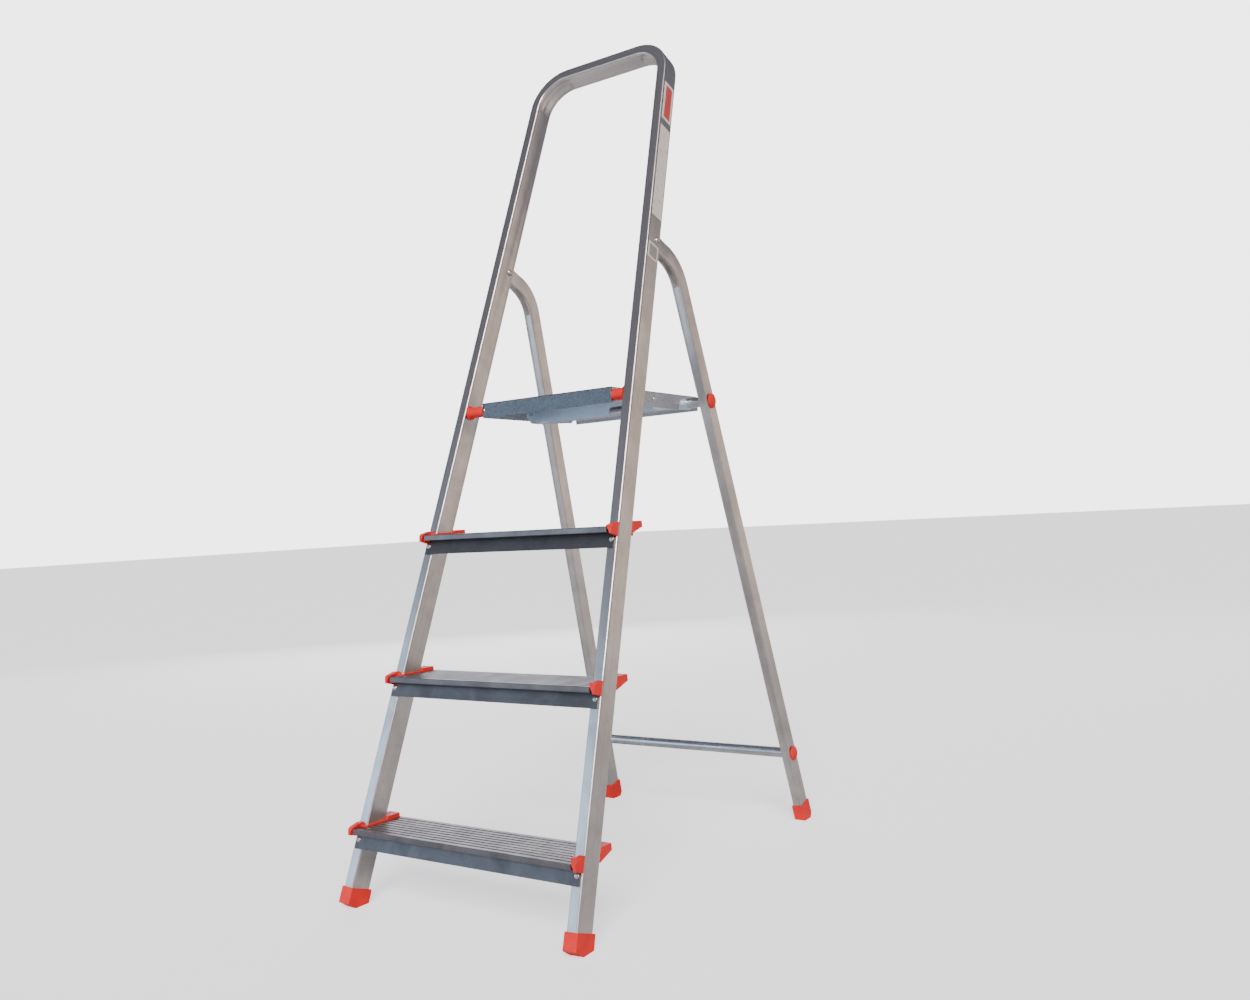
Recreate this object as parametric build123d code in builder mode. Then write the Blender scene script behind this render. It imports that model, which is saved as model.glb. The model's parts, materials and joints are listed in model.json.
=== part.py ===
from build123d import *
import os
from math import acos, atan, cos, hypot, pi, radians, sin, sqrt, tan

# Platform step ladder, standing open. Millimetres, +Z up, floor at Z 0. X runs across the ladder
# (+X is the climber's right) and -Y is the side the climber comes from. The pieces are drawn with
# Y 0 where the front faces of the stiles meet the floor, and all are moved along Y at the end so
# that the origin lies under the middle of the ladder.

# ---------------------------------------------------------------- driving dimensions: front frame
front_height = 1525.0  # floor to the top of the hoop
front_width = 484.0  # outer width of the front frame at the floor
front_lean = 19.84  # degrees from upright, top to the rear
front_taper = 0.0527  # how far each stile runs inward per mm of its length
stile_depth = 40.0
stile_width = 20.0
stile_wall = 1.2
stile_corner = 3.2
hoop_bend = 66.0  # centreline radius of the two bends at the top
tube_end = 24.0  # end of the tubes above the floor, measured along them

# ---------------------------------------------------------------- driving dimensions: steps
first_step = 128.0  # floor to the top of the lowest step
step_spacing = 240.0
step_count = 3
tread_front = 21.5  # the nosing stands this far in front of the stiles
tread_rear = 29.0  # the tread ends this far behind the stiles
tread_plate = 2.8
groove_depth = 0.9
groove_width = 3.6
groove_pitch = 10.3
groove_margin = 5.0  # least plain strip along the front and rear edges
nosing_height = 9.5
nosing_wall = 2.4
nosing_round = 1.1
flange_height = 34.0
flange_wall = 2.2
rear_lip = 18.0
lip_wall = 2.0
rib_height = 12.0
collar_wall = 3.5
collar_lug = 10.5  # width of the lug that closes the end of the nosing
lug_low = 15.5  # tip of the lug below the tread, just above the rivet
lug_tip_width = 4.0  # the lug's inner side slants down to this width
flange_end = 5.0  # the flange stops this far from the stile's outer edge
collar_rim = 2.5  # height of the rim above the tread
collar_rise = 6.5  # height of the lugs above the tread

# ---------------------------------------------------------------- driving dimensions: rear frame
rear_lean = 15.04  # degrees from upright, top to the front
pivot_height = 1108.5
pivot_depth = 29.0  # leg pivot behind the front face of the stiles
leg_offset = 60.0  # straight part of the leg behind the pivot
leg_depth = 30.0
leg_width = 18.8
leg_wall = 1.2
leg_corner = 3.0
leg_bend_angle = 50.0
leg_bend = 80.0  # centreline radius
leg_tail = 13.0  # tube beyond the pivot
leg_end_clearance = 0.7  # each side, inside the stile
cross_height = 137.5
cross_radius = 10.0
cross_wall = 1.2
cap_radius = 14.0
cap_dome = 5.0
cap_lift = 1.2  # tube end outside the leg's face
cap_edge = 1.4  # upright edge around the dome
cap_plug = 14.0  # length inside the tube

# ---------------------------------------------------------------- driving dimensions: platform
platform_height = 845.0
pivot_below_deck = 15.0
platform_pivot_depth = 12.0  # behind the front face of the stiles
bushing_run = 31.8  # mean gap between the platform and a stile, at the front pivot
platform_middle = 6.0  # the platform stands this far to the right of the middle
platform_nose = 8.0  # front band in front of the pivot
platform_tail = 28.0  # rear band behind the rear rod
band_height = 28.2
sheet = 1.5
fold_radius = 2.2
bead_height = 0.8
bead_width = 6.0
bead_pitch = 18.0
bead_margin = 16.0
rod_radius = 8.0
rod_wall = 1.5
link_sheet = 2.5
link_bar_back = 14.0  # front face of the bar behind the link pivot
link_bar_high = 7.0  # top of the bar above the link pivot
link_bar_low = 18.0  # bottom of the bar below the link pivot
link_eye = 12.0
slot_height = 15.0
slot_length = 76.0
slot_from_end = 30.0  # from the inner side of the right arm
slot_drop = 10.0  # middle of the slot below the link pivot

# ---------------------------------------------------------------- driving dimensions: small parts
running_gap = 0.06  # shaft in a hole
side_gap = 0.3  # between faces that move past each other
pin_radius = 4.0
link_pin_radius = 3.0
rivet_radius = 2.4
rivet_head_radius = 4.6
rivet_head = 1.6
bushing_radius = 10.0
bushing_flange_radius = 13.0
bushing_flange = 1.6
foot_wall = 2.2
foot_height = 38.0
foot_toe = 12.0
foot_sole_flat = 18.0
rear_foot_height = 33.0
rear_foot_flat = 20.0
label_thickness = 0.25

# ---------------------------------------------------------------- places worked out from them
platform_pivot_height = platform_height - pivot_below_deck
lean = radians(front_lean)
back = radians(rear_lean)
top_edge = front_height / cos(lean)  # length of the front frame along its face
stile_across = stile_width / cos(atan(front_taper))  # width of a stile measured along X
step_tops = [first_step + step_spacing * i for i in range(step_count)]
FRONT = Plane(origin=(0, 0, 0), x_dir=(1, 0, 0), z_dir=(0, -cos(lean), sin(lean)))


def outer_edge(along):
    """Half the outer width of the front frame at this length along its face."""
    return front_width / 2 - front_taper * along


def front_point(x, along, depth):
    """A point of the front frame: along its face, and behind that face."""
    return Vector(
        x,
        along * sin(lean) + depth * cos(lean),
        along * cos(lean) - depth * sin(lean),
    )


def along_at(height, depth):
    """Length along the front frame of a point at this height and depth behind its face."""
    return (height + depth * sin(lean)) / cos(lean)


pivot_along = along_at(pivot_height, pivot_depth)
pivot_x = outer_edge(pivot_along) - stile_across / 2
pivot = front_point(pivot_x, pivot_along, pivot_depth)

platform_along = along_at(platform_pivot_height, platform_pivot_depth)
platform_pivot = front_point(0, platform_along, platform_pivot_depth)
stile_inside = outer_edge(platform_along) - stile_across
platform_half_width = stile_inside - bushing_run

# The leg's own directions, seen from the side: up along it, and square to it towards the rear.
leg_up = (-sin(back), cos(back))
leg_rear = (cos(back), sin(back))


def leg_length_at(height, offset):
    """How far below the pivot, along the leg, its line at this offset crosses this height."""
    return (pivot_height + offset * leg_rear[1] - height) / leg_up[1]


def leg_point(drop, offset):
    """Y and Z of a point on the rear frame: this far down the leg, this far behind the pivot."""
    return (
        pivot.Y - drop * leg_up[0] + offset * leg_rear[0],
        pivot.Z - drop * leg_up[1] + offset * leg_rear[1],
    )


def leg_middle_x(drop):
    """X of the middle of the right leg this far down from the pivot."""
    return pivot_x + front_taper * drop


rod_drop = leg_length_at(platform_pivot_height, leg_offset)
rod = leg_point(rod_drop, leg_offset)
cross_drop = leg_length_at(cross_height, leg_offset)
cross = leg_point(cross_drop, leg_offset)

# The platform and the link are equally long between their pivots and lie in one line when open.
link_pivot_y = (platform_pivot.Y + rod[0]) / 2
link_length = rod[0] - link_pivot_y

# How far the link turns under the platform while the legs fold against the front frame.
front_arm = hypot(platform_pivot.Y - pivot.Y, platform_pivot_height - pivot_height)
rear_arm = hypot(rod[0] - pivot.Y, rod[1] - pivot_height)
open_angle = acos(
    (front_arm**2 + rear_arm**2 - (2 * link_length) ** 2) / (2 * front_arm * rear_arm)
)
folded_angle = open_angle - lean - back
folded_span = sqrt(
    front_arm**2 + rear_arm**2 - 2 * front_arm * rear_arm * cos(folded_angle)
)
link_turn = 2 * acos(folded_span / (2 * link_length))
tray_front = platform_pivot.Y - platform_nose
tray_rear = rod[0] + platform_tail
deck_top = platform_height - bead_height
deck_under = deck_top - sheet
tray_inside = platform_half_width - sheet

os.makedirs("parts", exist_ok=True)
sides = {"left": -1, "right": 1}


pieces = {}


def save(part, name):
    """Keeps a finished piece under its name."""
    pieces[name] = part


def band_points(side, near, far, low, high):
    """A strip along a stile, between two distances inward from its outer edge."""
    return [
        (side * (outer_edge(low) - near), low),
        (side * (outer_edge(low) - far), low),
        (side * (outer_edge(high) - far), high),
        (side * (outer_edge(high) - near), high),
    ]


def strip_piece(profile, side, near, far, low, high):
    """A side profile (Y, Z) kept only within a strip along one stile."""
    with BuildPart() as piece:
        with BuildSketch(Plane.YZ):
            with BuildLine():
                Polyline(*profile, close=True)
            make_face()
        extrude(amount=front_width, both=True)
        with BuildSketch(FRONT):
            with BuildLine():
                Polyline(*band_points(side, near, far, low, high), close=True)
            make_face()
        extrude(amount=4 * stile_depth, both=True, mode=Mode.INTERSECT)
    return piece.part


def x_cylinder(x_low, x_high, y, z, radius):
    """A plain cylinder along X."""
    with BuildPart() as shaft:
        with BuildSketch(Plane.YZ.offset(x_low)):
            with Locations((y, z)):
                Circle(radius)
        extrude(amount=x_high - x_low)
    return shaft.part


# ================================================================ front frame: one bent tube
# An oval-cornered rectangular tube runs up one stile, over the top and down the other.
bar_along = top_edge - stile_width / 2
middle_low = outer_edge(tube_end) - stile_across / 2
middle_high = outer_edge(bar_along) - stile_across / 2
step_rivet_drop = 22.0  # rivets below the tread top, along the face
slot_above = 18.0  # the rear wall is open this far above the leg pivot, and below it
slot_below = 34.0

with BuildPart() as front_tube:
    with BuildLine(FRONT.offset(-stile_depth / 2)) as hoop_line:
        FilletPolyline(
            (-middle_low, tube_end),
            (-middle_high, bar_along),
            (middle_high, bar_along),
            (middle_low, tube_end),
            radius=hoop_bend,
        )
    hoop_start = Plane(
        origin=hoop_line.line @ 0, x_dir=FRONT.z_dir, z_dir=hoop_line.line % 0
    )
    with BuildSketch(hoop_start):
        RectangleRounded(stile_depth, stile_width, stile_corner)
        RectangleRounded(
            stile_depth - 2 * stile_wall,
            stile_width - 2 * stile_wall,
            stile_corner - stile_wall,
            mode=Mode.SUBTRACT,
        )
    sweep(transition=Transition.ROUND)
    for side in sides.values():
        # opening in the rear wall where the leg enters
        with BuildSketch(FRONT.offset(-stile_depth / 2)):
            with BuildLine():
                Polyline(
                    *band_points(
                        side,
                        stile_wall,
                        stile_across - stile_wall,
                        pivot_along - slot_below,
                        pivot_along + slot_above,
                    ),
                    close=True,
                )
            make_face()
        extrude(amount=-stile_depth, mode=Mode.SUBTRACT)
        # holes for the leg pivot, through both side walls
        with BuildSketch(Plane.YZ.offset(side * (pivot_x - stile_width))):
            with Locations((pivot.Y, pivot.Z)):
                Circle(pin_radius)
        extrude(amount=side * 2 * stile_width, mode=Mode.SUBTRACT)
        # hole for the platform pin, through the inner wall
        with BuildSketch(Plane.YZ.offset(side * (stile_inside - 4))):
            with Locations((platform_pivot.Y, platform_pivot.Z)):
                Circle(pin_radius)
        extrude(amount=side * (4 + stile_width / 2), mode=Mode.SUBTRACT)
        # holes for the step rivets, through the front wall
        for top in step_tops:
            along = top / cos(lean) - step_rivet_drop
            with BuildSketch(FRONT.offset(1)):
                with Locations((side * (outer_edge(along) - stile_across / 2), along)):
                    Circle(rivet_radius)
            extrude(amount=-stile_depth / 2, mode=Mode.SUBTRACT)
save(front_tube.part, "front_frame_tube")

# ================================================================ steps: extruded treads
tread_depth = tread_front + stile_depth / cos(lean) + tread_rear
cut_reach = 3 * flange_height  # cuts beside a stile run this far above and below a tread
groove_count = int((tread_depth - 2 * groove_margin) // groove_pitch)


def make_step(top):
    """One tread: ribbed plate, nosing, flange lying on the stiles, rib and rear lip."""
    face = top * tan(lean)  # Y of the stiles' front face at the tread's top
    front = face - tread_front
    rear = front + tread_depth
    low_face = face - flange_height * tan(lean)
    flange_run = flange_wall / cos(lean)
    with BuildPart() as step:
        with BuildSketch(Plane.YZ):
            with Locations(((front + rear) / 2, top - tread_plate / 2)):
                Rectangle(tread_depth, tread_plate)
            with Locations((front + nosing_wall / 2, top - nosing_height / 2)):
                Rectangle(nosing_wall, nosing_height)
            nosing_run = tread_front - nosing_height * tan(lean)
            with Locations((front, top - nosing_height)):
                Rectangle(nosing_run, nosing_wall, align=(Align.MIN, Align.MIN))
            with BuildLine():
                Polyline(
                    (face, top),
                    (low_face, top - flange_height),
                    (low_face - flange_run, top - flange_height),
                    (face - flange_run, top),
                    close=True,
                )
            make_face()
            with Locations((rear - lip_wall, top - rear_lip)):
                Rectangle(lip_wall, rear_lip, align=(Align.MIN, Align.MIN))
            with Locations(((face + rear) / 2, top - rib_height)):
                Rectangle(lip_wall, rib_height, align=(Align.MIN, Align.MIN))
            with Locations(((front + rear) / 2, top)):
                with GridLocations(groove_pitch, 1, groove_count, 1):
                    Rectangle(groove_width, 2 * groove_depth, mode=Mode.SUBTRACT)
        extrude(amount=front_width / 2, both=True)
        low = top / cos(lean) - cut_reach
        high = top / cos(lean) + cut_reach
        for side in sides.values():
            # behind the stiles' front face the tread ends at the collar's plate
            with BuildSketch(FRONT):
                with BuildLine():
                    Polyline(
                        *band_points(
                            side, -front_width, stile_across + collar_wall, low, high
                        ),
                        close=True,
                    )
                make_face()
            extrude(amount=-4 * stile_depth, mode=Mode.SUBTRACT)
            # in front of it the flange runs on, and the nosing ends at the collar's lug
            lug_tip_along = (top - lug_low - side_gap) / cos(lean)
            for inset, lowest in ((flange_end, low), (collar_lug, lug_tip_along)):
                with BuildSketch(FRONT):
                    with BuildLine():
                        Polyline(
                            *band_points(side, -front_width, inset, lowest, high),
                            close=True,
                        )
                    make_face()
                extrude(amount=2 * stile_depth, mode=Mode.SUBTRACT)
            along = top / cos(lean) - step_rivet_drop
            with BuildSketch(FRONT.offset(-1)):
                with Locations((side * (outer_edge(along) - stile_across / 2), along)):
                    Circle(rivet_radius)
            extrude(amount=2 * flange_wall, mode=Mode.SUBTRACT)
        nose = step.edges().filter_by(Axis.X).group_by(Axis.Y)[0].sort_by(Axis.Z)
        fillet([nose[0], nose[-1]], radius=nosing_round)
    return step.part


for number, top in enumerate(step_tops, start=1):
    save(make_step(top), f"step_{number}")

# ================================================================ collars at the step ends
lug_shoulder = tread_front - 1.0  # where the lug's top falls to the nosing
lug_cover = 1.8  # thickness in front of the nosing
lug_below = 1.0  # thickness under the nosing
lug_top_run = 5.0  # level top in front of the stile
lug_tip = 1.0  # thickness of the tip
rim_cover = 3.0  # the rim reaches this far in front of the stile
gusset_low = 14.0
gusset_face = 10.5  # height of the gusset's rear face
stile_run = stile_depth / cos(lean)


def make_collar(top, side):
    """The moulded end of one step: end plate, rim, lug at the nosing and gusset behind."""
    face = top * tan(lean)
    rear = face + stile_run + tread_rear
    low = top / cos(lean) - cut_reach
    high = top / cos(lean) + cut_reach
    inner = stile_across + collar_wall

    def at(y, z):
        return (face + y, top + z)

    def on_face(z, gap=0.0):
        return (face + z * tan(lean) - gap, top + z)

    plate = [
        on_face(collar_rim),
        (rear, top + collar_rim),
        (rear, top - rear_lip),
        on_face(-rear_lip),
    ]
    gusset = [
        at(collar_rise * tan(lean) + stile_run, collar_rise),
        (rear - lug_tip / 2, top + collar_rise),
        (rear, top + collar_rise - gusset_face),
        at(-gusset_low * tan(lean) + stile_run, -gusset_low),
    ]
    rim = [
        on_face(collar_rim),
        on_face(collar_rim, rim_cover),
        on_face(0, rim_cover),
        on_face(0),
    ]
    lug = [
        on_face(collar_rise),
        at(-lug_top_run, collar_rise),
        at(-lug_shoulder, collar_rim),
        at(-tread_front - lug_cover, -lug_below),
        at(-tread_front - lug_cover, -nosing_height - lug_below),
        on_face(-lug_low, lug_tip),
        on_face(-lug_low),
    ]
    pieces = [
        strip_piece(plate, side, stile_across, inner, low, high),
        strip_piece(gusset, side, 0, inner, low, high),
        strip_piece(rim, side, collar_lug, inner, low, high),
        strip_piece(lug, side, 0, collar_lug, low, high),
    ]
    along = top / cos(lean)
    edge = outer_edge(along)
    beyond = collar_lug + lug_tip
    slant = [
        (side * (edge - beyond), along - lug_below),
        (side * (edge - beyond), low),
        (side * (edge - lug_tip_width), low),
        (side * (edge - lug_tip_width), along - lug_low),
    ]
    with BuildPart() as collar:
        for piece in pieces:
            add(piece)
        with BuildSketch(FRONT):
            with BuildLine():
                Polyline(*slant, close=True)
            make_face()
        extrude(amount=2 * tread_front, mode=Mode.SUBTRACT)
    return collar.part


for number, top in enumerate(step_tops, start=1):
    for name, side in sides.items():
        save(make_collar(top, side), f"step_collar_{number}_{name}")

# ================================================================ rivets through the step flanges
rivet_tail = 2.0  # length and extra radius of the part spread inside the tube
rivet_spread = 1.0
head_taper = 35  # degrees
with BuildPart() as step_rivets:
    for top in step_tops:
        along = top / cos(lean) - step_rivet_drop
        for side in sides.values():
            spot = (side * (outer_edge(along) - stile_across / 2), along)
            with BuildSketch(FRONT.offset(-stile_wall - rivet_tail)):
                with Locations(spot):
                    Circle(rivet_radius)
            extrude(amount=stile_wall + flange_wall + rivet_tail)
            with BuildSketch(FRONT.offset(-stile_wall - rivet_tail)):
                with Locations(spot):
                    Circle(rivet_radius + rivet_spread)
            extrude(amount=rivet_tail)
            with BuildSketch(FRONT.offset(flange_wall)):
                with Locations(spot):
                    Circle(rivet_head_radius)
            extrude(amount=rivet_head, taper=head_taper)
save(step_rivets.part, "step_rivets")


# ================================================================ front feet
def stile_frame(side):
    """Plane of a stile's side view: local X to the rear, local Y up along the stile."""
    axis = front_point(-side * front_taper, 1, 0) - front_point(0, 0, 0)
    rearward = Vector(0, cos(lean), -sin(lean))
    start = front_point(side * (front_width / 2 - stile_across / 2), 0, 0)
    return Plane(origin=start, x_dir=rearward, z_dir=rearward.cross(axis))


def below_floor(size):
    """A block that fills the space under the floor."""
    with BuildPart() as ground:
        with BuildSketch(Plane.XY):
            Rectangle(2 * size, 4 * size)
        extrude(amount=-size / 4)
    return ground.part


ground = below_floor(front_width)
heel_play = 2.0  # extra thickness behind the tube
heel_cut = 8.0  # the foot's rear edge is slanted over this height
sole_drop = 3.0  # the sole is drawn this far into the floor and then cut level
foot_round = foot_wall * 0.7

for name, side in sides.items():
    side_view = stile_frame(side)
    with BuildPart() as foot:
        with BuildSketch(side_view):
            with BuildLine():
                Polyline(
                    (-foot_wall, foot_height),
                    (-foot_wall, foot_toe),
                    (foot_sole_flat, foot_sole_flat * tan(lean)),
                    (foot_sole_flat + heel_cut, foot_sole_flat * tan(lean) - sole_drop),
                    (stile_depth + foot_wall + heel_play, -heel_play),
                    (stile_depth + foot_wall + heel_play, foot_height - heel_cut),
                    (stile_depth + foot_wall, foot_height),
                    close=True,
                )
            make_face()
        extrude(amount=stile_width / 2 + foot_wall, both=True)
        upright = Axis(side_view.origin, side_view.y_dir)
        fillet(foot.edges().filter_by(upright), radius=foot_round)
        # the socket that the tube stands in
        socket = Plane(
            origin=side_view.from_local_coords((stile_depth / 2, tube_end, 0)),
            x_dir=side_view.x_dir,
            z_dir=side_view.y_dir,
        )
        with BuildSketch(socket):
            RectangleRounded(stile_depth, stile_width, stile_corner)
        extrude(amount=foot_height, mode=Mode.SUBTRACT)
        add(ground, mode=Mode.SUBTRACT)
    save(foot.part, f"front_foot_{name}")

# ================================================================ rear legs: bent tubes
leg_end_width = stile_width - 2 * stile_wall - 2 * leg_end_clearance
leg_tube_drop = leg_length_at(tube_end, leg_offset)
bend = radians(leg_bend_angle)
bend_run = leg_offset / sin(bend)  # from the pivot to the corner of the bend
corner_drop = bend_run * cos(bend)
tangent = leg_bend * tan(bend / 2)
end_run = bend_run - tangent  # straight tube between the bend and the pivot
squeeze_start = end_run - 1.0
squeeze_run = 13.0  # the tube narrows over this length
squeeze_end = squeeze_start - squeeze_run


def leg_plane(side):
    """Plane of a leg's side view at its pivot: local X to the rear, local Y up along the leg."""
    up = Vector(-side * front_taper, leg_up[0], leg_up[1])
    rearward = Vector(0, leg_rear[0], leg_rear[1])
    origin = Vector(side * pivot_x, pivot.Y, pivot.Z)
    return Plane(origin=origin, x_dir=rearward, z_dir=rearward.cross(up))


def end_plane(side_view, run):
    """Plane square to the leg's end run, this far from the pivot, facing the pivot."""
    direction = side_view.from_local_coords(
        Vector(-sin(bend), cos(bend), 0)
    ) - side_view.origin
    start = side_view.from_local_coords((run * sin(bend), -run * cos(bend), 0))
    return Plane(origin=start, x_dir=side_view.z_dir, z_dir=direction)


def leg_solid(side_view, shrink, tail):
    """The leg's outside, or with shrink its inside: straight, bend, squeezed end."""
    depth = leg_depth - 2 * shrink
    corner = leg_corner - shrink
    wide = leg_width - 2 * shrink
    narrow = leg_end_width - 2 * shrink
    with BuildPart() as leg:
        with BuildLine(side_view) as run:
            FilletPolyline(
                (leg_offset, -leg_tube_drop - tail),
                (leg_offset, -corner_drop),
                (squeeze_start * sin(bend), -squeeze_start * cos(bend)),
                radius=leg_bend,
            )
        foot_end = Plane(
            origin=run.line @ 0, x_dir=side_view.z_dir, z_dir=side_view.y_dir
        )
        with BuildSketch(foot_end):
            RectangleRounded(wide, depth, corner)
        sweep()
        with BuildSketch(end_plane(side_view, squeeze_start)):
            RectangleRounded(wide, depth, corner)
        with BuildSketch(end_plane(side_view, squeeze_end)):
            RectangleRounded(narrow, depth, corner)
        loft()
        with BuildSketch(end_plane(side_view, squeeze_end)):
            RectangleRounded(narrow, depth, corner)
        extrude(amount=squeeze_end + leg_tail + tail)
    return leg.part


def bore(radius, y, z):
    """A cylinder along X right across the ladder, to cut holes with."""
    return x_cylinder(-front_width, front_width, y, z, radius)


pivot_bore = bore(pin_radius + running_gap, pivot.Y, pivot.Z)
rod_bore = bore(rod_radius, rod[0], rod[1])
cross_bore = bore(cross_radius, cross[0], cross[1])

for name, side in sides.items():
    side_view = leg_plane(side)
    outside = leg_solid(side_view, 0, 0)
    inside = leg_solid(side_view, leg_wall, 1)
    with BuildPart() as leg:
        add(outside)
        add(inside, mode=Mode.SUBTRACT)
        add(pivot_bore, mode=Mode.SUBTRACT)
        add(rod_bore, mode=Mode.SUBTRACT)
        add(cross_bore, mode=Mode.SUBTRACT)
    save(leg.part, f"rear_leg_{name}")

# ================================================================ leg pivots: pins and sleeves
pin_head = 2.4
pin_head_radius = 6.5
sleeve_wall = 1.6
head_seat = 0.4  # a head stands this far off a wall that slants under it
pivot_outer = pivot_x + stile_width / 2 + head_seat
pivot_inner = pivot_x - stile_width / 2 - head_seat
with BuildPart() as pivot_pins:
    for side in sides.values():
        with BuildSketch(Plane.YZ.offset(side * pivot_inner)):
            with Locations((pivot.Y, pivot.Z)):
                Circle(pin_radius)
        extrude(amount=side * (pivot_outer - pivot_inner))
        with BuildSketch(Plane.YZ.offset(side * pivot_outer)):
            with Locations((pivot.Y, pivot.Z)):
                Circle(pin_head_radius)
        extrude(amount=side * pin_head, taper=head_taper)
        with BuildSketch(Plane.YZ.offset(side * pivot_inner)):
            with Locations((pivot.Y, pivot.Z)):
                Circle(pin_head_radius)
        extrude(amount=-side * pin_head, taper=head_taper)
save(pivot_pins.part, "leg_pivot_pins")

sleeve_play = 0.6
sleeve_half = leg_end_width / 2 - leg_wall - sleeve_play
with BuildPart() as sleeves:
    for side in sides.values():
        with BuildSketch(Plane.YZ.offset(side * pivot_x)):
            with Locations((pivot.Y, pivot.Z)):
                Circle(pin_radius + running_gap + sleeve_wall)
                Circle(pin_radius + running_gap, mode=Mode.SUBTRACT)
        extrude(amount=sleeve_half, both=True)
save(sleeves.part, "leg_pivot_sleeves")


# ================================================================ cross tubes and their end caps
def make_cross_tube(y, z, radius, wall, drop):
    """A round tube through both legs, reaching just past their outer faces."""
    half = leg_middle_x(drop) + leg_width / 2 + cap_lift
    with BuildPart() as tube:
        with BuildSketch(Plane.YZ.offset(-half)):
            with Locations((y, z)):
                Circle(radius)
                Circle(radius - wall, mode=Mode.SUBTRACT)
        extrude(amount=2 * half)
    return tube.part


def make_cap(side, y, z, bore_radius, drop):
    """A domed plastic cap with a plug that sits in the tube."""
    start = leg_middle_x(drop) + leg_width / 2 + cap_lift
    dome_radius = (cap_radius**2 + cap_dome**2) / (2 * cap_dome)
    crown = cap_dome + cap_edge
    with BuildPart() as cap:
        with BuildSketch(Plane.XY) as half_section:
            with BuildLine():
                Polyline(
                    (0, -cap_plug),
                    (bore_radius, -cap_plug),
                    (bore_radius, 0),
                    (cap_radius, 0),
                    (cap_radius, cap_edge),
                )
                RadiusArc((cap_radius, cap_edge), (0, crown), -dome_radius)
                Line((0, crown), (0, -cap_plug))
            make_face()
        revolve(axis=Axis.Y)
    tilt = -90 if side > 0 else 90
    return Pos(side * start, y, z) * Rot(0, 0, tilt) * cap.part


save(make_cross_tube(cross[0], cross[1], cross_radius, cross_wall, cross_drop), "rear_cross_tube")
save(make_cross_tube(rod[0], rod[1], rod_radius, rod_wall, rod_drop), "platform_rest_rod")
for name, side in sides.items():
    rod_cap = make_cap(side, rod[0], rod[1], rod_radius - rod_wall, rod_drop)
    save(rod_cap, f"rest_rod_cap_{name}")
    cross_cap = make_cap(side, cross[0], cross[1], cross_radius - cross_wall, cross_drop)
    save(cross_cap, f"cross_tube_cap_{name}")

# Short sleeves on the rest rod keep the platform between the legs.
spacer_wall = 1.4
spacer_play = 1.0
spacer_end = leg_middle_x(rod_drop) - leg_width / 2 - 2 * spacer_play
with BuildPart() as spacers:
    for side in sides.values():
        spacer_start = platform_half_width + side * platform_middle + spacer_play
        with BuildSketch(Plane.YZ.offset(side * spacer_start)):
            with Locations(rod):
                Circle(rod_radius + spacer_wall)
                Circle(rod_radius, mode=Mode.SUBTRACT)
        extrude(amount=side * (spacer_end - spacer_start))
save(spacers.part, "rest_rod_spacers")

# ================================================================ rear feet
rear_heel = 5.0  # rear edge of the foot above the floor
for name, side in sides.items():
    side_view = leg_plane(side)
    floor_drop = leg_length_at(0, leg_offset)
    front_side = leg_offset - leg_depth / 2
    rear_side = leg_offset + leg_depth / 2
    with BuildPart() as foot:
        with BuildSketch(side_view):
            with BuildLine():
                Polyline(
                    (front_side - foot_wall, -floor_drop + rear_foot_height),
                    (front_side - foot_wall, -floor_drop - 2 * sole_drop),
                    (front_side + rear_foot_flat, -floor_drop - 3 * sole_drop),
                    (rear_side + foot_wall, -floor_drop + rear_heel),
                    (rear_side + foot_wall, -floor_drop + rear_foot_height),
                    close=True,
                )
            make_face()
        extrude(amount=leg_width / 2 + foot_wall, both=True)
        upright = Axis(side_view.origin, side_view.y_dir)
        fillet(foot.edges().filter_by(upright), radius=foot_round)
        socket = Plane(
            origin=side_view.from_local_coords((leg_offset, -leg_tube_drop, 0)),
            x_dir=side_view.x_dir,
            z_dir=side_view.y_dir,
        )
        with BuildSketch(socket):
            RectangleRounded(leg_depth, leg_width, leg_corner)
        extrude(amount=foot_height, mode=Mode.SUBTRACT)
        add(ground, mode=Mode.SUBTRACT)
    save(foot.part, f"rear_foot_{name}")

# ================================================================ platform: folded sheet tray
saddle = platform_pivot_height + rod_radius + side_gap
relief_low = rod[0] - 43.0
relief_high = rod[0] - 14.0
tray_low = platform_height - band_height
tray_length = tray_rear - tray_front
tray_centre = (platform_middle, (tray_front + tray_rear) / 2)
bead_count = int((tray_length - 2 * bead_margin) // bead_pitch) + 1
bead_taper = 20  # degrees
notch_height = 12.0
notch_width = 3.0
notch_top = 4.0  # below the deck
tray_left = platform_middle - platform_half_width
tray_right = platform_middle + platform_half_width


def tray_bore(radius, y, z):
    """A cylinder along X through both side flanges."""
    return x_cylinder(tray_left - sheet, tray_right + sheet, y, z, radius)


front_bore = tray_bore(pin_radius, platform_pivot.Y, platform_pivot.Z)
link_bore = tray_bore(link_pin_radius, link_pivot_y, platform_pivot_height)

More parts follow.
